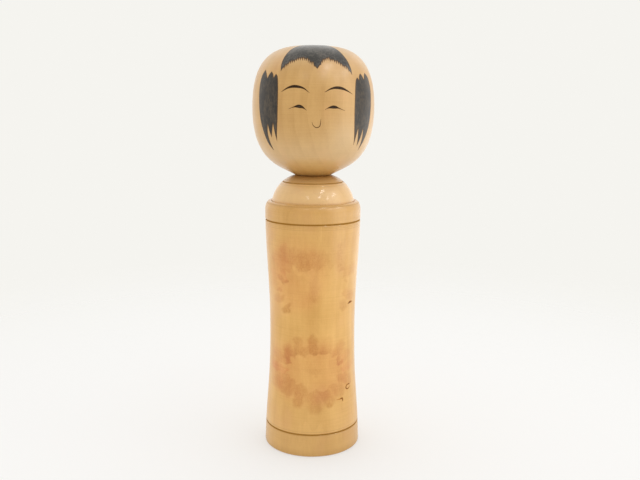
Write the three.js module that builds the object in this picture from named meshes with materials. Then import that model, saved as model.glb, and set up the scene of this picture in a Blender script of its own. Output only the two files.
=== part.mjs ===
// A kokeshi doll in two turned wooden pieces. The head and its tenon are one solid of
// revolution. The body is the other: a foot band, a waisted side, a collar and a domed
// shoulder, with a socket down the middle of the dome. The tenon swells below its neck and
// the socket does too, so the head turns freely round the shared axis but can't come out.
// Millimetres, +Z up, face towards -Y, origin at the centre of the underside.

import * as THREE from 'three';

// ---- Driving dimensions ----

const TOTAL_HEIGHT = 302;
const SEAT_HEIGHT = 208.2; // top of the shoulder, where the head sits
const SEAT_RADIUS = 13.4;
const CLEARANCE = 0.3; // between head and body, all the way round

const HEAD_RADIUS = 44.8;
const HEAD_WIDEST_HEIGHT = 257.5;

const TENON_NECK_RADIUS = 8.5;
const TENON_BULGE_RADIUS = 9.8;
const TENON_END_RADIUS = 8;
const TENON_LENGTH = 24;

const FOOT_RADIUS = 36.6;
const FOOT_BEVEL = 1.4;
const RECESS_RADIUS = 23; // shallow turned hollow that leaves a flat rim to stand on
const RECESS_DEPTH = 0.8;

const WAIST_RADIUS = 32.5;
const WAIST_HEIGHT = 93.5;

const COLLAR_RADIUS = 35.9;
const COLLAR_CREST_RADIUS = 32.4;
const COLLAR_CREST_HEIGHT = 189.3;
const COLLAR_ROUND_HEIGHT = 182.4; // where the collar starts to round over
const DOME_FOOT_RADIUS = 30.9;
const DOME_FOOT_HEIGHT = 188.5;

// Turned V grooves, from the foot up: the radius of the wood around each, and its cut.
const FOOT_GROOVE = { height: 17.1, width: 1.6, depth: 0.6, radius: 36 };
const COLLAR_GROOVE = { height: 175.3, width: 1.5, depth: 0.6, radius: 35.8 };
const NECK_GROOVE = { height: 203.4, width: 0.8, depth: 0.3 };

const CURVE_STEPS = 12; // straight pieces along one curved stretch of an outline
const TURN_STEPS = 64; // straight pieces round the axis

// ---- Outlines: lists of points (radius, height) ----

const point = (radius, height) => new THREE.Vector2(radius, height);

function curve(start, startHandle, endHandle, end, steps = CURVE_STEPS) {
  return new THREE.CubicBezierCurve(start, startHandle, endHandle, end).getPoints(steps);
}

// A quarter of an ellipse that starts upright at `start` and is level at `end`.
function roundOver(start, end, steps) {
  const quarter = Array.from({ length: steps + 1 }, (_, step) => (step / steps) * (Math.PI / 2));
  return quarter.map((angle) => point(
    end.x + (start.x - end.x) * Math.cos(angle),
    start.y + (end.y - start.y) * Math.sin(angle),
  ));
}

// Radius of a climbing outline at a height, along the straight piece that holds it.
function radiusAt(outline, height) {
  const above = outline.findIndex((p) => p.y >= height);
  const low = outline[above - 1];
  const high = outline[above];
  const along = (height - low.y) / (high.y - low.y);
  return THREE.MathUtils.lerp(low.x, high.x, along);
}

// A climbing outline with a V groove cut across it.
function cutGroove(outline, { height, width, depth }) {
  const low = height - width / 2;
  const high = height + width / 2;
  return [
    ...outline.filter((p) => p.y < low),
    point(radiusAt(outline, low), low),
    point(radiusAt(outline, height) - depth, height),
    point(radiusAt(outline, high), high),
    ...outline.filter((p) => p.y > high),
  ];
}

// The tenon from the seat down to its flat end. `gap` grows it into its socket.
function tenonOutline(seatHeight, gap = 0) {
  const end = seatHeight - TENON_LENGTH;
  return [
    point(TENON_NECK_RADIUS + gap, seatHeight),
    point(TENON_NECK_RADIUS + gap, seatHeight - 4),
    point(TENON_BULGE_RADIUS + gap, seatHeight - 9),
    point(TENON_BULGE_RADIUS + gap, end + 6),
    point(TENON_END_RADIUS + gap, end - gap),
    point(0, end - gap),
  ];
}

// ---- Pieces ----

// Wide and almost flat on top, full at the cheeks, drawn in to the neck below.
function headOutline() {
  const seat = SEAT_HEIGHT + CLEARANCE;
  const widest = point(HEAD_RADIUS, HEAD_WIDEST_HEIGHT);
  const lower = curve(point(SEAT_RADIUS, seat), point(25, 215), point(HEAD_RADIUS, 218.2), widest);
  const upper = curve(widest, point(HEAD_RADIUS, 301), point(22, TOTAL_HEIGHT), point(0, TOTAL_HEIGHT));
  return [...tenonOutline(seat).reverse(), ...lower, ...upper.slice(1)];
}

// The outside from the foot's bevel up over the waist to the crest of the collar.
function sideOutline() {
  const bevel = roundOver(point(FOOT_RADIUS, -FOOT_BEVEL), point(FOOT_RADIUS - FOOT_BEVEL, 0), 4)
    .map((p) => point(p.x, -p.y))
    .reverse();
  const footTop = point(FOOT_GROOVE.radius, FOOT_GROOVE.height);
  const waist = point(WAIST_RADIUS, WAIST_HEIGHT);
  const collarFoot = point(COLLAR_GROOVE.radius, COLLAR_GROOVE.height);
  const lower = curve(footTop, point(34.4, 47), point(WAIST_RADIUS, 53.5), waist);
  const upper = curve(waist, point(WAIST_RADIUS, 125.5), point(35.3, 146), collarFoot);
  const collar = roundOver(
    point(COLLAR_RADIUS, COLLAR_ROUND_HEIGHT),
    point(COLLAR_CREST_RADIUS, COLLAR_CREST_HEIGHT),
    7,
  );
  const side = [...bevel, ...lower, ...upper.slice(1), ...collar];
  return cutGroove(cutGroove(side, FOOT_GROOVE), COLLAR_GROOVE);
}

function domeOutline() {
  const dome = curve(
    point(DOME_FOOT_RADIUS, DOME_FOOT_HEIGHT),
    point(30, 194.5),
    point(25.6, 205.2),
    point(SEAT_RADIUS, SEAT_HEIGHT),
  );
  return cutGroove(dome, NECK_GROOVE);
}

function bodyOutline() {
  const underside = [point(0, RECESS_DEPTH), point(RECESS_RADIUS, RECESS_DEPTH), point(RECESS_RADIUS + 1, 0)];
  return [...underside, ...sideOutline(), ...domeOutline(), ...tenonOutline(SEAT_HEIGHT, CLEARANCE)];
}

// ---- Model ----

function turned(name, outline, color) {
  const material = new THREE.MeshStandardMaterial({ color, roughness: 0.42, metalness: 0 });
  const mesh = new THREE.Mesh(new THREE.LatheGeometry(outline, TURN_STEPS), material);
  mesh.name = name;
  mesh.rotation.x = Math.PI / 2; // a lathe turns round Y: stand it up
  return mesh;
}

const doll = new THREE.Group();
doll.add(turned('body', bodyOutline(), 0xd9a75f));
doll.add(turned('head', headOutline(), 0xd2a96a));

export default doll;
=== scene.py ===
import math

import bpy
import numpy as np
from mathutils import Matrix, Vector
from mathutils.geometry import delaunay_2d_cdt


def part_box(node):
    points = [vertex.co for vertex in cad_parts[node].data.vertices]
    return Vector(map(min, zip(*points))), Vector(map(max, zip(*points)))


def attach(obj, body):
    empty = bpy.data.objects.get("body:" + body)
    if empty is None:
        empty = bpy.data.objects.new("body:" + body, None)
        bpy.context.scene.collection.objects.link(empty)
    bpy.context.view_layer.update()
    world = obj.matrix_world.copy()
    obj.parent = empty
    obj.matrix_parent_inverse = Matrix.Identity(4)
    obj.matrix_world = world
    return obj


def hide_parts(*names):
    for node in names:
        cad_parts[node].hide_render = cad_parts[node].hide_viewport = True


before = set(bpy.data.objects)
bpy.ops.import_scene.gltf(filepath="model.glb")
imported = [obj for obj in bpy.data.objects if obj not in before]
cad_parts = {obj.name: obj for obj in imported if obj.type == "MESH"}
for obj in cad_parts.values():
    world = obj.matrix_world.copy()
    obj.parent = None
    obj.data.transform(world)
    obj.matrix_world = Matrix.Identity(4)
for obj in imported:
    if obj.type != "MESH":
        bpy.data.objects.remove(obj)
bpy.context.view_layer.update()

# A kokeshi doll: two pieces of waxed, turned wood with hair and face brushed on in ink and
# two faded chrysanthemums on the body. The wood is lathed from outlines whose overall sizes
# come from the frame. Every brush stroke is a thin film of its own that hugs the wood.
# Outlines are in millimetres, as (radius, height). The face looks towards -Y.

MM = 0.001

HEAD_LOW, HEAD_HIGH = (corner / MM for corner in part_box("head"))
BODY_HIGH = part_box("body")[1] / MM

TOP = HEAD_HIGH.z
HEAD_RADIUS = HEAD_HIGH.x
FOOT_RADIUS = BODY_HIGH.x
SEAT = BODY_HIGH.z  # height of the face that the head sits on
TENON_END = HEAD_LOW.z
SEAT_RADIUS = 0.3 * HEAD_RADIUS
SEAM = 0.3  # gap between head and body

TURN_STEPS = 256
TURNED_CORNER, FILM_CORNER = 32, 40  # degrees, above which an edge is shaded sharp
SEED = 7


# ---- Camera, floor and light ----

FADE_START, FADE_END = 0.2, 0.75  # metres from the doll over which the floor fades out

def make_camera():
    turn = math.radians(-4.3)  # the doll looks a little past the camera
    pitch = math.radians(10.05)
    roll = math.radians(0.35)
    distance, side, height = 0.5792, 0.0055, 0.2613
    data = bpy.data.cameras.new("camera")
    data.sensor_width = 36
    data.lens = 43.6
    data.clip_start = 0.01
    camera = bpy.data.objects.new("camera", data)
    spin = Matrix.Rotation(turn, 4, "Z")
    look = Matrix.Rotation(math.pi / 2 - pitch, 4, "X") @ Matrix.Rotation(roll, 4, "Z")
    camera.matrix_world = spin @ Matrix.Translation((side, -distance, height)) @ look
    bpy.context.scene.collection.objects.link(camera)
    bpy.context.scene.camera = camera
    return camera


def make_floor():
    """A pale, softly lit sheet that fades out into the room with distance, so no horizon shows."""
    half = 4.0
    mesh = bpy.data.meshes.new("floor")
    corners = [(-half, -half, 0), (half, -half, 0), (half, half, 0), (-half, half, 0)]
    mesh.from_pydata(corners, [], [(0, 1, 2, 3)])
    floor = bpy.data.objects.new("floor", mesh)
    bpy.context.scene.collection.objects.link(floor)
    graph = Graph("floor_paper")
    place = graph.object_coordinates()
    paper = graph.node("BsdfDiffuse", {"Color": (0.5, 0.5, 0.5, 1)})
    glow = graph.node("Emission", {"Color": (1, 1, 0.99, 1), "Strength": 0.395})
    paper = graph.node("AddShader", {0: paper.outputs[0], 1: glow.outputs[0]})
    clear = graph.node("BsdfTransparent")
    distance = graph.node("VectorMath", {0: place}, operation="LENGTH").outputs["Value"]
    far = graph.smooth(distance, FADE_START, FADE_END)
    seen = graph.node("MixShader", {0: far, 1: paper.outputs[0], 2: clear.outputs[0]})
    graph.node("OutputMaterial", {"Surface": seen.outputs[0]})
    mesh.materials.append(graph.material)


def towards(azimuth, elevation):
    """A direction from the doll: azimuth 0 is in front, 90 is to +X."""
    a, e = math.radians(azimuth), math.radians(elevation)
    return Vector((math.sin(a) * math.cos(e), -math.cos(a) * math.cos(e), math.sin(e)))


def area_light(name, target, away, distance, size, power, upright=(0, 0, 1), mirrored_only=False):
    """A soft box that shines on its target from a distance along `away`.

    Its height follows `upright`. A box that is mirrored only shows in shiny surfaces and lights nothing."""
    away = away.normalized()
    across = Vector(upright).cross(away).normalized()
    facing = Matrix((across, away.cross(across), away)).transposed()
    data = bpy.data.lights.new(name, "AREA")
    data.shape = "RECTANGLE"
    data.size, data.size_y = size
    data.energy = power
    light = bpy.data.objects.new(name, data)
    light.matrix_world = Matrix.Translation(target + away * distance) @ facing.to_4x4()
    light.visible_diffuse = not mirrored_only
    bpy.context.scene.collection.objects.link(light)


def make_lights():
    """A key light on the doll's left, and a tall card there that only shows as a sheen on the wax."""
    middle = Vector((0, 0, 0.2))
    area_light("key", middle, towards(60, 27), 1.7, size=(1.8, 1.4), power=3.7)
    area_light("card", middle, towards(65, 10), 1.7, size=(1.2, 2.4), power=8, mirrored_only=True)


# Glints of small windows on the wax of the dome: the upper and lower end of each, in degrees round the doll
# and millimetres up, and its window's power.
GLINTS = [
    ((13, 199.3), (7.3, 197), 2.8),
    ((6.7, 195.6), (4.3, 193.7), 1.2),
    ((-12, 195.2), (-10, 193.4), 0.8),
    ((30.5, 197.2), (25, 195), 1.9),
    ((18.7, 194.8), (16, 193), 0.7),
]
WINDOW_DISTANCE = 1.5
WINDOW_WIDTH = 0.11


def mirrored(skin, angle, height, eye):
    """A place on a shiny skin, and the direction from there that it mirrors into the eye."""
    climb = np.interp([height], skin.outline[:, 1], skin.climb)
    place, above = (Vector(skin.place(np.radians([angle]), climb, lift)[0]) * MM for lift in (0, 1))
    return place, (place - eye).normalized().reflect((above - place).normalized())


def make_windows(dome, eye):
    """Each window stands where the dome mirrors it into the eye at its glint."""
    for index, (top, bottom, power) in enumerate(GLINTS):
        place, high = mirrored(dome, *top, eye)
        low = mirrored(dome, *bottom, eye)[1]
        window_height = WINDOW_DISTANCE * (high - low).length
        area_light(
            f"window_{index}", place, high + low, WINDOW_DISTANCE, size=(WINDOW_WIDTH, window_height),
            power=power, upright=high - low, mirrored_only=True,
        )


def make_world():
    """A pale room, plain to the camera. Its walls are brightest behind the doll, its table towards +X."""
    world = bpy.data.worlds.new("studio")
    bpy.context.scene.world = world
    world.use_nodes = True
    graph = Graph("", tree=world.node_tree)
    axes = graph.node("SeparateXYZ", {0: graph.node("TexCoord").outputs["Generated"]})
    walls = graph.smooth(axes.outputs["Y"], -1, 0.7, 0.85, 1.25)
    table = graph.smooth(axes.outputs["X"], -0.3, 1, 1.12, 1.7)
    downwards = graph.smooth(axes.outputs["Z"], 0.05, -0.1)
    strength = graph.node("Mix", {0: downwards, 2: walls, 3: table}, data_type="FLOAT").outputs[0]
    room = graph.node("Background", {"Color": (1, 0.985, 0.955, 1), "Strength": strength})
    seen = graph.node("Background", {"Color": (0.915, 0.905, 0.865, 1)})
    to_camera = graph.node("LightPath").outputs["Is Camera Ray"]
    both = graph.node("MixShader", {0: to_camera, 1: room.outputs[0], 2: seen.outputs[0]})
    graph.node("OutputWorld", {"Surface": both.outputs[0]})
    bpy.context.scene.view_settings.view_transform = "Standard"


# ---- Materials ----

class Graph:
    """A material's node graph. Each method adds a node and returns its main output."""

    def __init__(self, name, tree=None):
        if tree is None:
            self.material = bpy.data.materials.new(name)
            self.material.use_nodes = True
            tree = self.material.node_tree
        self.tree = tree
        self.tree.nodes.clear()

    def node(self, kind, inputs=(), **settings):
        made = self.tree.nodes.new("ShaderNode" + kind)
        for name, value in settings.items():
            setattr(made, name, value)
        for key, value in dict(inputs).items():
            if isinstance(value, bpy.types.NodeSocket):
                self.tree.links.new(value, made.inputs[key])
            else:
                made.inputs[key].default_value = value
        return made

    def object_coordinates(self):
        return self.node("TexCoord").outputs["Object"]

    def attribute(self, name):
        return self.node("Attribute", attribute_name=name).outputs["Fac"]

    def math(self, operation, first, second=0.0, clamp=False):
        inputs = {0: first, 1: second}
        return self.node("Math", inputs, operation=operation, use_clamp=clamp).outputs[0]

    def stretched(self, vector, x, y, z):
        """Coordinates in cells of x by y by z millimetres."""
        cells = (1 / (x * MM), 1 / (y * MM), 1 / (z * MM))
        return self.node("VectorMath", {0: vector, 1: cells}, operation="MULTIPLY").outputs[0]

    def noise(self, vector, detail=2.0, roughness=0.5):
        inputs = {"Vector": vector, "Scale": 1.0, "Detail": detail, "Roughness": roughness}
        return self.node("TexNoise", inputs).outputs["Fac"]

    def ramp(self, value, low_stop, high_stop):
        """A colour between two stops, each a position and a colour."""
        made = self.node("ValToRGB", {"Fac": value})
        for element, (position, color) in zip(made.color_ramp.elements, (low_stop, high_stop)):
            element.position = position
            element.color = (*color, 1)
        return made.outputs["Color"]

    def smooth(self, value, low, high, to_low=0.0, to_high=1.0):
        inputs = {"Value": value, "From Min": low, "From Max": high, "To Min": to_low, "To Max": to_high}
        return self.node("MapRange", inputs, interpolation_type="SMOOTHSTEP").outputs[0]

    def mix(self, share, first, second, blend="MIX"):
        inputs = {0: share, 6: first, 7: second}
        return self.node("Mix", inputs, data_type="RGBA", blend_type=blend).outputs[2]

    def bump(self, height, depth):
        """Relief of a depth in millimetres for a height from 0 to 1."""
        return self.node("Bump", {"Height": height, "Distance": depth * MM, "Strength": 1.0}).outputs[0]

    def surface(self, base_color, roughness, normal, coat, coat_roughness, specular):
        inputs = {
            "Base Color": base_color,
            "Roughness": roughness,
            "Normal": normal,
            "Coat Weight": coat,
            "Coat Roughness": coat_roughness,
            "Specular IOR Level": specular,
        }
        shader = self.node("BsdfPrincipled", inputs)
        self.node("OutputMaterial", {"Surface": shader.outputs[0]})


ROSY = (0.66, 0.31, 0.11)
# Colour of grime and of painted shade.
GRIME_AND_SHADE = (0.33, 0.16, 0.03)
OCHRE_STAIN = (0.76, 0.61, 0.33)
RED_STAIN = (0.96, 0.63, 0.6)
# Wood colour that the pale attribute mixes in as painted light.
PAINTED_LIGHT_TINT = (0.68, 0.505, 0.29)
RING_SPACING = 8 * MM

HEAD_WOOD = dict(pale=(0.6, 0.35, 0.106), deep=(0.445, 0.23, 0.048), pith=(-40, -5), wax_roughness=0.28)
BODY_WOOD = dict(pale=(0.79, 0.452, 0.12), deep=(0.615, 0.317, 0.058), pith=(25, 110), wax_roughness=0.11)


def wood_material(name, pale, deep, pith, wax_roughness):
    """Waxed dogwood: faint growth rings round an upright pith line, soft streaks, level turning marks and
    cloudy ageing.

    The mesh brings four attributes: patina, for grime and for painted shade in creases, at the seat and under
    the chin and collar, pale, for painted light on the parts lit most, and pigment and rouge, for faded
    paint."""
    graph = Graph(name)
    place = graph.object_coordinates()
    pith_line = (pith[0] * MM, pith[1] * MM, 0)
    offset = graph.node("VectorMath", {0: place, 1: pith_line}, operation="SUBTRACT").outputs[0]
    level = graph.node("VectorMath", {0: offset, 1: (1, 1, 0.02)}, operation="MULTIPLY").outputs[0]
    distance = graph.node("VectorMath", {0: level}, operation="LENGTH").outputs["Value"]
    sway = graph.noise(graph.stretched(place, 26, 26, 80), detail=2)
    rings = graph.math("MULTIPLY", distance, 1 / RING_SPACING)
    years = graph.math("ADD", rings, graph.math("MULTIPLY", sway, 1.1))
    late_wood = graph.smooth(graph.math("FRACT", years), 0.35, 1.0)
    streaks = graph.noise(graph.stretched(place, 3.4, 3.4, 60), detail=4, roughness=0.5)
    fibres = graph.noise(graph.stretched(place, 0.4, 0.4, 8), detail=3, roughness=0.7)
    clouds = graph.noise(graph.stretched(place, 14, 14, 26), detail=3)
    flecks = graph.noise(graph.stretched(place, 0.8, 0.8, 1.5), detail=3, roughness=0.7)
    turning = graph.noise(graph.stretched(place, 40, 40, 0.7), detail=3, roughness=0.6)

    tone = graph.math("MULTIPLY", late_wood, 0.07)
    tone = graph.math("ADD", tone, graph.math("MULTIPLY", graph.math("SUBTRACT", turning, 0.5), 0.25))
    for share, layer in ((0.26, streaks), (0.12, fibres), (0.42, clouds), (0.16, flecks)):
        tone = graph.math("ADD", tone, graph.math("MULTIPLY", layer, share))
    color = graph.ramp(tone, (0.3, pale), (0.72, deep))

    warm = graph.noise(graph.stretched(place, 19, 19, 30), detail=2)
    color = graph.mix(graph.smooth(warm, 0.5, 0.75, 0, 0.3), color, (*ROSY, 1))
    # Painted light: the pale attribute lightens the parts lit most.
    color = graph.mix(graph.attribute("pale"), color, (*PAINTED_LIGHT_TINT, 1))
    # Grime and painted shade: the patina attribute, broken up by the fibres, darkens the wood and thins its
    # wax.
    patchy = graph.smooth(fibres, 0.2, 0.7, 0.75, 1.1)
    worn = graph.math("MULTIPLY", graph.attribute("grime_and_shade"), patchy, clamp=True)
    color = graph.mix(worn, color, (*GRIME_AND_SHADE, 1))
    blotches = graph.math("ADD", clouds, graph.math("MULTIPLY", flecks, 0.8))
    ragged = graph.smooth(blotches, 0.6, 1.2, 0.55, 1.45)
    for coating, tint in (("pigment", OCHRE_STAIN), ("rouge", RED_STAIN)):
        share = graph.math("MULTIPLY", graph.attribute(coating), ragged, clamp=True)
        color = graph.mix(share, color, (*tint, 1), blend="MULTIPLY")

    handled = graph.math("ADD", clouds, graph.math("MULTIPLY", fibres, 0.4))
    roughness = graph.smooth(handled, 0.4, 1.0, 0.36, 0.5)
    relief = graph.bump(graph.math("ADD", fibres, graph.math("MULTIPLY", streaks, 0.6)), depth=0.01)
    clean = graph.smooth(worn, 0.3, 0.9, 1.0, 0.0)
    wax, shine = (graph.math("MULTIPLY", clean, share) for share in (0.45, 0.5))
    graph.surface(color, roughness, relief, coat=wax, coat_roughness=wax_roughness, specular=shine)
    return graph.material


def ink_material(name, soot, wash, sheen):
    """Charcoal ink, worn and streaky where it is wide and brown where it thins out at an edge.

    The mesh brings one attribute: inset, the distance in millimetres from the stroke's edge."""
    graph = Graph(name)
    place = graph.object_coordinates()
    mottle = graph.noise(graph.stretched(place, 1.6, 1.6, 2.8), detail=4, roughness=0.65)
    brushed = graph.noise(graph.stretched(place, 0.8, 0.8, 22), detail=3)
    worn = graph.noise(graph.stretched(place, 7, 7, 11), detail=3)
    tone = graph.math("ADD", graph.math("MULTIPLY", mottle, 0.45), graph.math("MULTIPLY", brushed, 0.2))
    tone = graph.math("ADD", tone, graph.math("MULTIPLY", worn, 0.4))
    rubbed = tuple(4.5 * channel for channel in soot)
    thick = graph.ramp(tone, (0.48, soot), (0.66, rubbed))
    wander = graph.math("MULTIPLY", graph.math("SUBTRACT", mottle, 0.5), 0.5)
    ragged = graph.math("ADD", graph.attribute("inset"), wander)
    twice_brushed = tuple(0.35 * channel for channel in wash)
    thin = graph.ramp(graph.smooth(ragged, 0, 0.6), (0, wash), (0.5, twice_brushed))
    color = graph.mix(graph.smooth(ragged, 0.25, 1.1), thin, thick)
    relief = graph.bump(mottle, depth=0.01)
    roughness = graph.smooth(mottle, 0.3, 0.7, 0.42, 0.58)
    graph.surface(color, roughness, relief, coat=sheen, coat_roughness=0.25, specular=0.1)
    return graph.material


# ---- Outlines of the turned wood ----

def curve(start, start_handle, end_handle, end, steps=40):
    """A cubic Bezier curve through two points."""
    t = np.linspace(0, 1, steps + 1)[:, None]
    corners = [np.array(p, float) for p in (start, start_handle, end_handle, end)]
    weights = ((1 - t) ** 3, 3 * t * (1 - t) ** 2, 3 * t * t * (1 - t), t ** 3)
    return sum(w * c for w, c in zip(weights, corners))


def round_over(start, end, steps):
    """A quarter ellipse, upright at its start and level at its end."""
    angle = np.linspace(0, math.pi / 2, steps + 1)
    radius = end[0] + (start[0] - end[0]) * np.cos(angle)
    height = start[1] + (end[1] - start[1]) * np.sin(angle)
    return np.stack([radius, height], 1)


def join(*stretches):
    """One outline from stretches that share end points."""
    return np.vstack([stretches[0]] + [stretch[1:] for stretch in stretches[1:]])


def resample(outline, spacing):
    """The same outline in even steps of about `spacing`."""
    run = arc_length(outline)
    count = max(2, round(run[-1] / spacing) + 1)
    at = np.linspace(0, run[-1], count)
    return np.stack([np.interp(at, run, outline[:, k]) for k in (0, 1)], 1)


def arc_length(outline):
    return np.concatenate([[0], np.cumsum(np.hypot(*np.diff(outline, axis=0).T))])


def refine(outline, height, reach, spacing):
    """More points within `reach` of a height, so that a groove there is smooth."""
    run = arc_length(outline)
    centre = run[np.argmin(np.abs(outline[:, 1] - height))]
    extra = np.arange(centre - reach, centre + reach, spacing)
    at = np.unique(np.concatenate([run[np.abs(run - centre) > reach], extra]))
    return np.stack([np.interp(at, run, outline[:, k]) for k in (0, 1)], 1)


def cut(outline, height, width, depth):
    """A turned V groove with slightly softened lips and bottom."""
    outline = refine(outline, height, reach=width * 1.5, spacing=width / 9)
    tangent = np.gradient(outline, axis=0)
    normal = np.stack([tangent[:, 1], -tangent[:, 0]], 1) / np.hypot(*tangent.T)[:, None]
    run = arc_length(outline)
    centre = run[np.argmin(np.abs(outline[:, 1] - height))]
    across = np.abs(run - centre) / (width / 2)
    softness = 0.12
    v_shape = np.clip(1 - np.sqrt(across ** 2 + softness ** 2) + softness / 2, 0, None)
    return outline - normal * (depth * v_shape)[:, None]


FOOT_GROOVE = dict(height=17.1, width=1.7, depth=0.65)
COLLAR_GROOVE = dict(height=175.3, width=1.6, depth=0.6)
NECK_GROOVE = dict(height=203.4, width=0.9, depth=0.32)
# Faint rings left by the tool beside the grooves.
TOOL_RINGS = [
    dict(height=19.2, width=0.7, depth=0.1),
    dict(height=173.7, width=0.7, depth=0.1),
    dict(height=172.7, width=0.6, depth=0.08),
    dict(height=171.5, width=0.6, depth=0.06),
]
NECK_RINGS = [dict(height=201.8, width=0.6, depth=0.05)]

FOOT_BEVEL = 1.4
FOOT_TOP_RADIUS = 36.0
WAIST = (32.5, 93.5)
COLLAR_FOOT_RADIUS = 35.8
COLLAR_TOP = (35.9, 182.4)  # where the collar starts to round over
CREST = (32.4, 189.3)
DOME_FOOT = (30.9, 188.5)
HEAD_WIDEST = 257.5
TENON_NECK, TENON_BULGE, TENON_TIP = 8.5, 9.8, 8.0  # radii
RECESS = [(0, 0.8), (23, 0.8), (24, 0)]  # hollow in the underside, inside the rim that the doll stands on


def tenon(seat, gap):
    """The peg from the seat down to its flat end. `gap` grows it into its socket."""
    end = TENON_END - gap
    neck, bulge, tip = (radius + gap for radius in (TENON_NECK, TENON_BULGE, TENON_TIP))
    swell = curve((neck, seat - 4), (neck, seat - 7), (bulge, seat - 6), (bulge, seat - 9), steps=6)
    taper = curve((bulge, end + 6), (bulge, end + 3), (tip + 0.6, end), (tip, end), steps=6)
    return np.vstack([[(neck, seat)], swell, taper, [(0, end)]])


def head_outline():
    seat = SEAT + SEAM
    widest = (HEAD_RADIUS, HEAD_WIDEST)
    lower = curve((SEAT_RADIUS, seat), (25, 215), (HEAD_RADIUS, 218.2), widest, 90)
    upper = curve(widest, (HEAD_RADIUS, 301), (22, TOP), (0, TOP), 110)
    return resample(lower, 0.9), resample(upper, 0.9)


def dome_outline():
    return resample(curve(DOME_FOOT, (30, 194.5), (25.6, 205.2), (SEAT_RADIUS, SEAT), 60), 0.7)


def body_outline():
    foot = round_over((FOOT_RADIUS, -FOOT_BEVEL), (FOOT_RADIUS - FOOT_BEVEL, 0), 8)[::-1] * (1, -1)
    foot_top = (FOOT_TOP_RADIUS, FOOT_GROOVE["height"])
    collar_foot = (COLLAR_FOOT_RADIUS, COLLAR_GROOVE["height"])
    wall = join(
        np.array([foot[-1], foot_top]),
        curve(foot_top, (34.4, 47), (WAIST[0], 53.5), WAIST),
        curve(WAIST, (WAIST[0], 125.5), (35.3, 146), collar_foot),
        np.array([collar_foot, COLLAR_TOP]),
    )
    side = join(foot, resample(wall, 0.8))
    for groove in (FOOT_GROOVE, COLLAR_GROOVE, *TOOL_RINGS):
        side = cut(side, **groove)
    collar = resample(round_over(COLLAR_TOP, CREST, 40), 0.6)
    dome = dome_outline()
    for groove in (NECK_GROOVE, *NECK_RINGS):
        dome = cut(dome, **groove)
    crease = curve(CREST, (31.6, 189.3), (31.0, 189.0), DOME_FOOT, 4)
    return join(side, collar, crease, dome)


# ---- Meshes ----

def lathe(name, outline):
    """A closed solid of revolution. The outline starts and ends on the axis."""
    ring = outline[1:-1]
    angles = np.arange(TURN_STEPS) * (2 * math.pi / TURN_STEPS)
    spun = np.stack(
        [
            ring[:, None, 0] * np.sin(angles),
            -ring[:, None, 0] * np.cos(angles),
            np.repeat(ring[:, None, 1], TURN_STEPS, 1),
        ],
        2,
    ).reshape(-1, 3)
    ends = [(0, 0, outline[0, 1]), (0, 0, outline[-1, 1])]
    first, last = len(spun), len(spun) + 1
    faces = []
    for row in range(len(ring) - 1):
        for step in range(TURN_STEPS):
            following = (step + 1) % TURN_STEPS
            a, b = row * TURN_STEPS + step, row * TURN_STEPS + following
            faces.append((a, b, b + TURN_STEPS, a + TURN_STEPS))
    top_row = (len(ring) - 1) * TURN_STEPS
    for step in range(TURN_STEPS):
        following = (step + 1) % TURN_STEPS
        faces.append((first, following, step))
        faces.append((last, top_row + step, top_row + following))
    mesh = bpy.data.meshes.new(name)
    mesh.from_pydata(np.vstack([spun, ends]) * MM, [], faces)
    mesh.shade_smooth()
    piece = bpy.data.objects.new(name, mesh)
    bpy.context.scene.collection.objects.link(piece)
    return piece


def vertices(piece):
    """A piece's vertices in millimetres."""
    flat = np.zeros(len(piece.data.vertices) * 3, np.float32)
    piece.data.vertices.foreach_get("co", flat)
    return flat.reshape(-1, 3).astype(float) / MM


def add_attribute(piece, name, values):
    attribute = piece.data.attributes.new(name, "FLOAT", "POINT")
    attribute.data.foreach_set("value", np.clip(values, 0, None).astype(np.float32))


def around(points):
    """Degrees round the axis: 0 at the face, rising towards the doll's left."""
    return np.degrees(np.arctan2(points[:, 0], -points[:, 1]))


def near(values, centre, reach):
    """1 at the centre, falling smoothly with distance on both sides."""
    return np.exp(-(((values - centre) / reach) ** 2))


def sharpen(piece, angle):
    """Marks corners above an angle, such as a groove's lips and the base's rim, as hard edges."""
    piece.data.set_sharp_from_angle(angle=math.radians(angle))


# ---- Brushed films ----

class Skin:
    """The head's or body's surface, for placing paint by angle in degrees and height in millimetres."""

    def __init__(self, outline):
        self.outline = outline  # climbs from the lowest painted height to the highest
        tangent = np.gradient(outline, axis=0)
        tangent /= np.hypot(*tangent.T)[:, None]
        self.normal = np.stack([tangent[:, 1], -tangent[:, 0]], 1)
        self.climb = arc_length(outline)
        self.length = self.climb[-1]

    def radius(self, height):
        return np.interp(height, self.outline[:, 1], self.outline[:, 0])

    def from_top(self, height):
        """Length along the surface from the crown down to a height."""
        return self.length - np.interp(height, self.outline[:, 1], self.climb)

    def place(self, angle, climb, lift):
        """Points on the skin, `lift` above it, from an angle in radians and a length climbed."""
        radius = np.interp(climb, self.climb, self.outline[:, 0] + lift * self.normal[:, 0])
        height = np.interp(climb, self.climb, self.outline[:, 1] + lift * self.normal[:, 1])
        return np.stack([radius * np.sin(angle), -radius * np.cos(angle), height], 1)


class SideMap:
    """Unrolls a skin like a label, on a cylinder of one radius."""

    def __init__(self, skin, radius):
        self.skin, self.unroll = skin, radius

    def flat(self, points):
        points = np.array(points, float)
        climb = np.interp(points[:, 1], self.skin.outline[:, 1], self.skin.climb)
        return np.stack([np.radians(points[:, 0]) * self.unroll, climb], 1)

    def solid(self, flat, lift):
        return self.skin.place(flat[:, 0] / self.unroll, flat[:, 1], lift)


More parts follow.
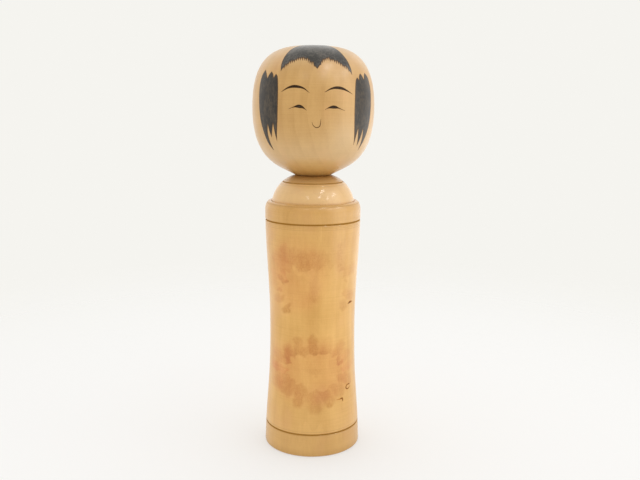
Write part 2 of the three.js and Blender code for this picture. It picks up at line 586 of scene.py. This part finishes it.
class CrownMap:
    """Spreads a skin out flat from its crown, with lengths along the surface as distances."""

    def __init__(self, skin):
        self.skin = skin

    def flat(self, points):
        points = np.array(points, float)
        angle, run = np.radians(points[:, 0]), self.skin.from_top(points[:, 1])
        return np.stack([run * np.sin(angle), -run * np.cos(angle)], 1)

    def solid(self, flat, lift):
        angle = np.arctan2(flat[:, 0], -flat[:, 1])
        return self.skin.place(angle, self.skin.length - np.hypot(*flat.T), lift)


def flowing(points, steps=10):
    """A smooth line through three or more points (a Catmull-Rom spline)."""
    points = np.array(points, float)
    padded = np.vstack([2 * points[0] - points[1], points, 2 * points[-1] - points[-2]])
    t = np.linspace(0, 1, steps, endpoint=False)[:, None]
    line = []
    for a, b, c, d in zip(padded, padded[1:], padded[2:], padded[3:]):
        bend = (2 * a - 5 * b + 4 * c - d) * t ** 2
        twist = (3 * b - a - 3 * c + d) * t ** 3
        line.append((2 * b + (c - a) * t + bend + twist) / 2)
    return np.vstack(line + [points[-1:]])


def stroke(points, widths):
    """A brush stroke's outline round a smooth centre line, with a width at each of its points."""
    line = resample(flowing(points), 0.25)
    run = arc_length(line)
    marks = np.linspace(0, run[-1], len(widths))
    half = np.interp(run, marks, widths) / 2
    half = np.convolve(np.pad(half, 3, "edge"), np.ones(7) / 7, "valid")
    tangent = np.gradient(line, axis=0)
    side = np.stack([-tangent[:, 1], tangent[:, 0]], 1) / np.hypot(*tangent.T)[:, None]
    return np.vstack([line - side * half[:, None], (line + side * half[:, None])[::-1]])


def edge_distance(points, outline):
    """Distance from each point to a closed outline."""
    start, step = outline, np.roll(outline, -1, 0) - outline
    rest = points[:, None] - start
    share = np.clip((rest * step).sum(2) / np.maximum((step ** 2).sum(1), 1e-12), 0, 1)
    return np.hypot(*np.moveaxis(rest - share[:, :, None] * step, 2, 0)).min(1)


def inside(points, outline):
    """Which points lie inside a closed outline."""
    x, y = points[:, None, 0], points[:, None, 1]
    x0, y0 = outline.T
    x1, y1 = np.roll(outline, -1, 0).T
    crosses = ((y0 > y) != (y1 > y)) & (x < (x1 - x0) * (y - y0) / np.where(y1 == y0, 1e-12, y1 - y0) + x0)
    return crosses.sum(1) % 2 == 1


FILM_PROUD, FILM_SUNK = 0.05, 0.12  # how far a film stands out of the wood and reaches into it


def film(name, outline, wrap, spacing):
    """A thin closed solid that fills a flat outline and hugs the skin that `wrap` maps it to."""
    closed = resample(np.vstack([outline, outline[:1]]), 0.35)[:-1]
    low, high = closed.min(0), closed.max(0)
    xs, ys = (np.arange(low[k] + spacing / 2, high[k], spacing) for k in (0, 1))
    grid = np.stack(np.meshgrid(xs, ys), 2).reshape(-1, 2)
    grid = grid[inside(grid, closed)]
    if len(grid):
        grid = grid[edge_distance(grid, closed) > spacing * 0.45]
    flat = np.vstack([closed, grid])
    count = len(closed)
    rim = [(k, (k + 1) % count) for k in range(count)]
    spots, face = [Vector(point) for point in flat], [list(range(count))]
    points, _, triangles, *_ = delaunay_2d_cdt(spots, rim, face, 1, 1e-5)
    flat = np.array([tuple(point) for point in points])
    top, bottom = wrap.solid(flat, FILM_PROUD), wrap.solid(flat, -FILM_SUNK)
    upper = [oriented(triangle, top) for triangle in triangles]
    shift = len(flat)
    sides = set()
    for a, b, c in upper:
        sides |= {(a, b), (b, c), (c, a)}
    border = [(a, b) for a, b in sides if (b, a) not in sides]
    faces = list(upper)
    faces += [(a + shift, c + shift, b + shift) for a, b, c in upper]
    faces += [(b, a, a + shift, b + shift) for a, b in border]
    mesh = bpy.data.meshes.new(name)
    mesh.from_pydata(np.vstack([top, bottom]) * MM, [], faces)
    mesh.shade_smooth()
    piece = bpy.data.objects.new(name, mesh)
    bpy.context.scene.collection.objects.link(piece)
    sharpen(piece, FILM_CORNER)
    inset = edge_distance(flat, closed)
    add_attribute(piece, "inset", np.concatenate([inset, inset]))
    return piece


def oriented(triangle, points):
    """The triangle turned so that it faces away from the axis or upwards."""
    a, b, c = (points[k] for k in triangle)
    normal = np.cross(b - a, c - a)
    centre = (a + b + c) / 3
    outward = np.array([centre[0], centre[1], max(centre[2] - HEAD_WIDEST, 0)])
    return tuple(triangle) if normal @ outward > 0 else tuple(triangle)[::-1]


# ---- Hair and face, in degrees round the head and millimetres up ----

RIGHT_ARCH = [
    (-37, 282.2), (-33, 285.4), (-28, 287.8), (-22, 289.6),
    (-16, 290.1), (-10, 289), (-4, 286.5), (0, 283.8),
]
LEFT_ARCH = [
    (35.8, 280), (31.5, 283.8), (25.5, 286.6), (19, 288.8),
    (12.5, 290), (8, 289.4), (3.8, 287.3), (0, 283.8),
]
RIGHT_EDGE = [(-37, 282.2), (-38.5, 286.6), (-38.9, 290.5), (-38.6, 294), (-37.8, 298)]
LEFT_EDGE = [(35.8, 280), (36.4, 284), (36, 287.5), (35.2, 291), (34, 294), (33, 298)]
CROWN_END = [(-3.4, -7.5), (-1.6, -4.6), (1.6, -4.6), (3.4, -7.5)]  # flat, in millimetres from the crown


def hairline(arch, toothed, teeth, rng):
    """An arch of the fringe's lower edge from a side tip to the middle.

    Its first `toothed` share is in small teeth."""
    arch = resample(flowing(arch), 0.2)
    run = arc_length(arch)
    marks = np.linspace(0.07, toothed, teeth + 1) * run[-1]
    line = [arch[0]]
    for low, high in zip(marks, marks[1:]):
        point = low + (high - low) * rng.uniform(0.45, 0.8)
        for at, drop in ((low, rng.uniform(-2.0, -0.9)), (point, rng.uniform(0.5, 1.3))):
            line.append([np.interp(at, run, arch[:, 0]), np.interp(at, run, arch[:, 1]) - drop])
    return np.vstack([line, arch[run >= marks[-1]]])


def make_fringe(crown, rng):
    """From the tip on the doll's right over the crown to the tip on its left, then along the hairline."""
    right = hairline(RIGHT_ARCH, toothed=0.92, teeth=16, rng=rng)
    left = hairline(LEFT_ARCH, toothed=0.9, teeth=15, rng=rng)
    over = flowing(np.vstack([crown.flat(RIGHT_EDGE), CROWN_END, crown.flat(LEFT_EDGE)[::-1]]))
    return np.vstack([over, crown.flat(left)[1:], crown.flat(right)[::-1][1:-1]])


def make_lock(side, stretches):
    """A side lock from smooth stretches between sharp corners: points at the top, tails below."""
    return np.vstack([flowing(side.flat(stretch))[:-1] for stretch in stretches])


RIGHT_LOCK = [
    [(-63.6, 277.5), (-62.4, 281.0), (-59.5, 284.0)],
    [(-59.5, 284.0), (-56.0, 281.4), (-52.7, 278.0)],
    [(-52.7, 278.0), (-50.6, 280.9), (-48.5, 282.5)],
    [(-48.5, 282.5), (-45.9, 280.8), (-43.9, 278.2)],
    [(-43.9, 278.2), (-43.0, 279.8), (-41.9, 280.8)],
    [(-41.9, 280.8), (-39.2, 278.4), (-37.4, 271.8), (-36.8, 263), (-37.2, 253), (-38.1, 246), (-41, 234.2)],
    [(-41.0, 234.2), (-42.1, 240.5), (-42.9, 246.8)],
    [(-42.9, 246.8), (-44.6, 242.4), (-47.0, 236.8)],
    [(-47.0, 236.8), (-48.8, 241.6), (-49.8, 246.0)],
    [(-49.8, 246.0), (-51.3, 240.6), (-50.9, 234.2), (-49.2, 227.6)],
    [(-49.2, 227.6), (-54.4, 232.8), (-58, 241.5), (-61, 251), (-62.8, 264), (-63.6, 271.5), (-63.6, 277.5)],
]
LEFT_LOCK = [
    [(63.0, 275.5), (61.6, 279.4), (57.2, 282.2)],
    [(57.2, 282.2), (54.4, 280.4), (52.2, 277.5)],
    [(52.2, 277.5), (50.2, 280.2), (48.1, 281.6)],
    [(48.1, 281.6), (45.6, 280.0), (43.8, 277.1)],
    [(43.8, 277.1), (42.9, 278.2), (41.9, 278.8)],
    [(41.9, 278.8), (39.2, 276.3), (37.3, 270.5), (36.1, 261.5), (36.0, 252.5), (37.2, 243), (40.5, 231.6)],
    [(40.5, 231.6), (41.0, 238.0), (42.1, 243.6)],
    [(42.1, 243.6), (43.6, 238.4), (46.0, 230.8)],
    [(46.0, 230.8), (48.2, 237.0), (49.6, 243.0)],
    [(49.6, 243.0), (51.0, 238.0), (51.6, 233.0), (51.4, 227.6)],
    [(51.4, 227.6), (56, 235), (59.6, 244), (61.8, 254), (63, 264), (63.6, 270.5), (63, 275.5)],
]

# Brush strokes of the face: points along each, then widths from one end to the other.
FACE = {
    "brow_right": (
        [(-33.4, 268.5), (-27, 271.2), (-20.6, 272.1), (-13, 271), (-7, 267.7)],
        (0.25, 0.7, 1.2, 1.75, 2, 1.7, 1.1, 0.55, 0.1),
    ),
    "brow_left": (
        [(6.3, 268.3), (12, 270.6), (18.1, 271.4), (25, 270.4), (34, 267.1)],
        (0.25, 0.7, 1.2, 1.75, 2, 1.7, 1.1, 0.55, 0.1),
    ),
    "eye_right": (
        [(-26, 256.9), (-21.5, 258.2), (-17, 258.8), (-13, 258), (-9.6, 256.1)],
        (0.15, 0.3, 0.45, 1.1, 2.2, 2.4, 1.5, 0.5, 0.15),
    ),
    "eye_left": (
        [(6.4, 256.6), (10, 257.9), (14.2, 258.4), (18.5, 257.8), (25.4, 255.8)],
        (0.15, 0.35, 1.3, 2.2, 2.0, 0.9, 0.45, 0.3, 0.15),
    ),
    "nose": (
        [(-5, 248.2), (-3.6, 245.7), (-0.6, 244.4), (2.2, 245.8), (2.9, 250.2)],
        (0.15, 0.45, 0.55, 0.45, 0.15),
    ),
}


# ---- Flowers on the body ----

BODY_UNROLL = 33.0  # radius that the body's paint is unrolled at
PAINT_REACH = 80  # degrees to each side of the front
PAINT_FOOT = 25  # height below which there is no paint
WAVER = 0.45  # millimetres that a painted edge strays by
SPOT_STRENGTH, GLOW_STRENGTH = 0.5, 0.27

# The pale heart of each flower: the tips of its rays and the petals' inner ends between them.
LOWER_HEART = [
    (-8, 80), (-2, 77.3), (5, 80), (10, 77.8), (17.5, 79.5), (23, 75.5), (31, 76.5), (29.5, 69.4),
    (41.5, 67.6), (35.5, 65), (44, 61.5), (27.5, 60.5), (34, 54.3), (21, 56), (12, 49.5), (2, 52),
    (-8, 49.5), (-16, 57), (-24, 54.3), (-26.5, 59), (-33, 58.5), (-34, 62), (-42, 61.5), (-35, 65.5),
    (-51, 68.6), (-31.5, 70.3), (-35, 76.3), (-26.5, 75), (-23.5, 78.8), (-14, 76.2),
]
UPPER_HEART = [
    (-11, 140.8), (-5, 144.5), (0, 141), (6, 144), (9, 141.5), (13, 148), (18, 142), (25, 146),
    (28, 139), (38, 141), (36, 134), (46, 130), (36, 124), (45, 118), (32, 118), (36, 108),
    (18, 112), (10, 104), (-4, 108), (-14, 104), (-22, 112), (-34, 106), (-33, 117), (-48, 113),
    (-40, 121.5), (-50, 122), (-44, 128), (-50, 131), (-34, 130), (-40, 141), (-31, 139.5),
    (-28, 147), (-21, 141),
]

BRISTLE_MARKS = (-8.7, -11.2, -13.5, -16)  # degrees of the fine lines at the foot of one upper petal

# What is left of each petal: inner end, outer end, width, strength and share of red. Ends are in degrees
# round the body and millimetres up.
LOWER_FLOWER = [
    ((-2, 76), (-3, 90.5), 7, 0.8, 0.0),
    ((-20, 75), (-23.5, 88.7), 6.8, 0.85, 0.05),
    ((-14, 74), (-14, 82), 6, 0.4, 0.1),
    ((-32, 72), (-38.5, 81.5), 8.5, 0.55, 0.3),
    ((-34, 75), (-37, 79.5), 5, 0.5, 0.4),
    ((-34, 70), (-58, 76), 7.5, 0.5, 0.4),
    ((-36, 64.5), (-66, 66), 6.5, 0.4, 1.0),
    ((-34, 61), (-62, 53), 8, 0.42, 0.3),
    ((-28, 60), (-46, 50.5), 7, 0.32, 0.15),
    ((-24, 58), (-36, 48.5), 7.5, 0.36, 0.15),
    ((-14, 60), (-22.5, 41), 7.2, 0.6, 0.15),
    ((-4, 54), (-0.5, 38), 9.8, 0.4, 0.05),
    ((6, 55), (18.5, 42.3), 8, 0.42, 0.05),
    ((17.5, 39.2), (19.5, 39.4), 3.2, 0.7, 0.0),
    ((20, 60), (34.5, 48.5), 9, 0.28, 0.05),
    ((30, 62), (52, 55), 8, 0.4, 0.3),
    ((38, 66), (62, 66), 7, 0.35, 0.8),
    ((34, 69.6), (39.5, 70.6), 2.4, 2.6, 0.5),
    ((30, 70), (50, 76), 7, 0.35, 0.5),
    ((26, 73), (37, 84), 8.5, 0.45, 0.3),
    ((12, 76), (17, 87), 9, 0.35, 0.2),
    ((6, 79), (14, 79.6), 3.4, 0.4, 0.1),
    ((-40, 51), (20, 49), 9, 0.13, 0.15),
    ((-44, 77), (16, 80), 9, 0.3, 0.1),
    ((-56, 54), (-58, 76), 14, 0.2, 0.8),
]
UPPER_FLOWER = [
    ((-31, 150), (-39, 156.5), 9, 0.5, 0.5),
    ((-22, 146), (-25, 155), 8.5, 0.55, 0.15),
    ((-12, 143), (-15, 152), 8, 0.5, 0.1),
    ((-2, 145), (-1, 153), 8, 0.3, 0.0),
    ((5, 142), (5.5, 146), 1.6, 0.4, 0.0),
    ((8, 145), (12, 152), 7, 0.2, 0.0),
    ((20, 146), (22, 154), 8, 0.2, 0.1),
    ((30, 146), (30.5, 160), 4, 0.35, 0.0),
    ((32, 142), (42, 148), 8, 0.2, 0.1),
    ((-38, 143), (-54, 150), 11, 0.35, 0.6),
    ((-42, 136), (-62, 138), 8, 0.25, 1.0),
    ((-44, 132), (-49.5, 136), 3.6, 0.55, 0.1),
    ((-39, 133), (-35, 133.2), 2.4, 0.9, 0.3),
    ((-53, 125.4), (-49, 126), 2.6, 1.0, 0.4),
    ((-40, 126), (-64, 130), 7, 0.3, 0.7),
    ((-36, 120), (-58, 118.5), 6.5, 0.6, 0.2),
    ((-30, 115), (-41.5, 110.8), 6, 0.85, 0.0),
    ((34, 117), (40.5, 113.5), 8, 0.35, 0.0),
    ((42, 123), (56, 120), 8, 0.4, 0.35),
    ((40, 131), (43, 132.5), 3, 0.4, 0.1),
    ((38, 139), (58, 141), 8, 0.3, 0.3),
    *(((angle, 142.2 + abs(angle + 11) / 4), (angle, 149), 1, 0.6, 0.0) for angle in BRISTLE_MARKS),
    ((-40, 152), (6, 151), 12, 0.2, 0.2),
]
# Centres and half sizes, in degrees and millimetres, of the greenish heart spots and of the pink glows that
# are left of the whole flowers.
SPOTS = [((-2, 65.5), (10, 3.4)), ((-2, 121), (8, 3.2))]
GLOWS = [((-4, 65), (60, 25)), ((-26, 138), (40, 27))]
# Dark lines in the wood: lower end, upper end, width and strength.
GRAIN_STREAKS = [((-2, 126), (-1, 172), 6, 0.2), ((-4, 98), (-3, 112), 9, 0.12)]


def blot(flat, inner, outer, width):
    """A round-ended petal with soft edges that fades towards its upper end."""
    axis = outer - inner
    along = np.clip((flat - inner) @ axis / (axis @ axis), 0, 1)
    beside = np.hypot(*(flat - inner - along[:, None] * axis).T)
    low, high = sorted((inner[1], outer[1]))
    rise = np.clip((flat[:, 1] - low + width / 2) / (high - low + width), 0, 1)
    return soft_edge(width / 2 - beside, 0.5 + 0.3 * width) * (1.15 - 0.5 * rise)


def soft_edge(depth, softness):
    """0 outside and 1 inside, from the depth in millimetres behind an edge."""
    share = np.clip(depth / softness + 0.5, 0, 1)
    return share * share * (3 - 2 * share)


def unsteady(flat):
    """Places moved slightly, so that painted edges waver as a brush's do."""
    x, y = flat.T
    return flat + WAVER * np.stack([np.sin(1.1 * y + 0.5 * x), np.sin(0.9 * x - 0.4 * y)], 1)


def star(flat, outline):
    """1 inside a heart with pointed rays, 0 outside."""
    depth = edge_distance(flat, outline) * np.where(inside(flat, outline), 1, -1)
    return soft_edge(depth, 0.7)


def body_paint(points):
    """Faded pigment and faded red, from 0 to 1, at each point of the body."""
    unroll = np.array([math.radians(BODY_UNROLL), 1])
    degrees, height = around(points), points[:, 2]
    on_side = np.hypot(points[:, 0], points[:, 1]) > WAIST[0] - 1
    in_band = (height > PAINT_FOOT) & (height < COLLAR_GROOVE["height"])
    painted = on_side & in_band & (np.abs(degrees) < PAINT_REACH)
    flat = unsteady(np.stack([degrees, height], 1)[painted] * unroll)
    bare, unreddened = np.ones(len(flat)), np.ones(len(flat))
    for inner, outer, width, strength in GRAIN_STREAKS:
        bare *= 1 - strength * blot(flat, inner * unroll, outer * unroll, width)
    for petals, heart in ((LOWER_FLOWER, LOWER_HEART), (UPPER_FLOWER, UPPER_HEART)):
        ring = 1 - star(flat, heart * unroll)
        for inner, outer, width, strength, red in petals:
            shade = np.clip(strength * blot(flat, inner * unroll, outer * unroll, width) * ring, 0, 1)
            bare *= 1 - shade * (1 - red)
            unreddened *= 1 - shade * red
    for centre, half in SPOTS:
        bare *= 1 - SPOT_STRENGTH * near(np.hypot(*((flat / unroll - centre) / half).T), 0, 0.9)
    for centre, half in GLOWS:
        unreddened *= 1 - GLOW_STRENGTH * soft_edge(1 - np.hypot(*((flat / unroll - centre) / half).T), 0.5)
    pigment, rouge = np.zeros(len(points)), np.zeros(len(points))
    pigment[painted], rouge[painted] = 1 - bare, 1 - unreddened
    return pigment, rouge


# The last dark outlines of petals on the doll's left, where the flowers have faded least.
PETAL_LINES = {
    "petal_line_curl": (
        [(55, 49.6), (50.5, 48.2), (46.6, 48.4), (45.4, 49.8), (47.6, 51.3), (53.5, 51.3)],
        (0.3, 0.7, 1.0, 1.1, 0.8, 1.2),
    ),
    "petal_line_low": ([(28.5, 42.4), (33, 42.2), (37.6, 42.4), (38.4, 39.8)], (0.3, 0.6, 1.5, 0.5)),
    "petal_line_high": ([(48.5, 114), (53.6, 114.9), (60, 114.9)], (0.4, 2.1, 0.5)),
}


# ---- The doll ----

def make_head_wood():
    lower, upper = head_outline()
    peg = tenon(SEAT + SEAM, gap=0)[::-1]
    piece = lathe("head_wood", np.vstack([peg, join(lower, upper)]))
    sharpen(piece, TURNED_CORNER)
    points = vertices(piece)
    height = points[:, 2]
    # Painted shade round the foot of the head, where it sits on the body, and under the chin.
    under_chin = np.clip((223 - height) / 8, 0, 1)
    add_attribute(piece, "grime_and_shade", 0.3 * near(height, SEAT + SEAM, 3) + 0.12 * under_chin)
    # Painted light: lighter chin, lit from the table, lighter top of the head and lighter cheek on the key's
    # side.
    chin, brim = near(height, 226, 12), near(height, 294, 8)
    left_cheek = near(around(points), 27, 16) * near(height, 238, 11)
    add_attribute(piece, "pale", 0.32 * chin + 0.3 * brim + 0.3 * left_cheek)
    for coating in ("pigment", "rouge"):
        add_attribute(piece, coating, np.zeros(len(points)))
    piece.data.materials.append(wood_material("head_dogwood", **HEAD_WOOD))
    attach(piece, "head")
    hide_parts("head")
    return Skin(join(lower, upper))


def make_body_wood():
    outline = body_outline()
    piece = lathe("body_wood", np.vstack([RECESS, outline, tenon(SEAT, gap=SEAM)]))
    sharpen(piece, TURNED_CORNER)
    points = vertices(piece)
    height = points[:, 2]
    outside = np.hypot(points[:, 0], points[:, 1]) > SEAT_RADIUS - 0.5
    foot_band, neck_band = height < FOOT_GROOVE["height"], height > NECK_GROOVE["height"]
    collar = (height > COLLAR_GROOVE["height"]) & (height < DOME_FOOT[1])
    # Painted shade: the upper body darker towards the collar that overhangs it.
    under_collar = near(height, 175, 35) * (height <= COLLAR_GROOVE["height"])
    # Darker at the bottom edge, and painted shade in the crease at the dome's foot and round the seat.
    dirt_and_shade = 0.25 * near(height, 0, 4) + 0.35 * near(height, DOME_FOOT[1], 0.8) + 0.45 * near(height, SEAT, 2.2)
    # Grime on the foot band, painted shade under the collar and on the neck under the head, and a darker
    # collar.
    dirt_and_shade += 0.2 * foot_band + 0.2 * under_collar + 0.33 * collar + 0.3 * neck_band
    for groove in (FOOT_GROOVE, COLLAR_GROOVE, NECK_GROOVE):
        dirt_and_shade += 0.9 * near(height, groove["height"], groove["width"] * 0.42)
    for ring in (*TOOL_RINGS, *NECK_RINGS):
        dirt_and_shade += 0.24 * near(height, ring["height"], ring["width"] * 0.45)
    add_attribute(piece, "grime_and_shade", dirt_and_shade * outside)
    # Painted light: the dome lighter as if lit from above, and the foot lighter as if lit from the table.
    dome = np.clip((height - DOME_FOOT[1] + 1) / 3, 0, 1)
    add_attribute(piece, "pale", (0.4 * dome + 0.12 * near(height, 0, 40)) * outside)
    for coating, amount in zip(("pigment", "rouge"), body_paint(points)):
        add_attribute(piece, coating, amount)
    piece.data.materials.append(wood_material("body_dogwood", **BODY_WOOD))
    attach(piece, "body")
    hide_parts("body")
    return Skin(outline[: np.argmax(outline[:, 1] >= COLLAR_TOP[1])])


def paint(outlines, wrap, body, ink, spacing):
    for name, outline in outlines.items():
        piece = film(name, outline, wrap, spacing)
        piece.data.materials.append(ink)
        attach(piece, body)


def strokes(wrap, lines):
    return {name: stroke(wrap.flat(points), widths) for name, (points, widths) in lines.items()}


camera = make_camera()
make_floor()
make_lights()
make_world()

rng = np.random.default_rng(SEED)
head_skin = make_head_wood()
body_skin = make_body_wood()
make_windows(Skin(dome_outline()), eye=camera.matrix_world.translation)
# The fringe's ink is lighter than the locks': painted sheen on the hair that faces up.
fringe_ink_with_painted_sheen = ink_material("fringe_ink_with_painted_sheen", soot=(0.026, 0.023, 0.019), wash=(0.17, 0.08, 0.02), sheen=0.7)
lock_ink = ink_material("lock_ink", soot=(0.017, 0.012, 0.007), wash=(0.17, 0.08, 0.02), sheen=0.6)
line_ink = ink_material("line_ink", soot=(0.016, 0.012, 0.008), wash=(0.1, 0.045, 0.012), sheen=0.0)
old_ink = ink_material("old_ink", soot=(0.13, 0.05, 0.008), wash=(0.55, 0.22, 0.045), sheen=0.0)
crown = CrownMap(head_skin)
cheeks = SideMap(head_skin, HEAD_RADIUS)
side = SideMap(body_skin, BODY_UNROLL)
locks = {"hair_lock_right": make_lock(cheeks, RIGHT_LOCK), "hair_lock_left": make_lock(cheeks, LEFT_LOCK)}
paint({"hair_fringe": make_fringe(crown, rng)}, crown, "head", fringe_ink_with_painted_sheen, spacing=0.6)
paint(locks, cheeks, "head", lock_ink, spacing=0.6)
paint(strokes(cheeks, FACE), cheeks, "head", line_ink, spacing=0.3)
paint(strokes(side, PETAL_LINES), side, "body", old_ink, spacing=0.3)
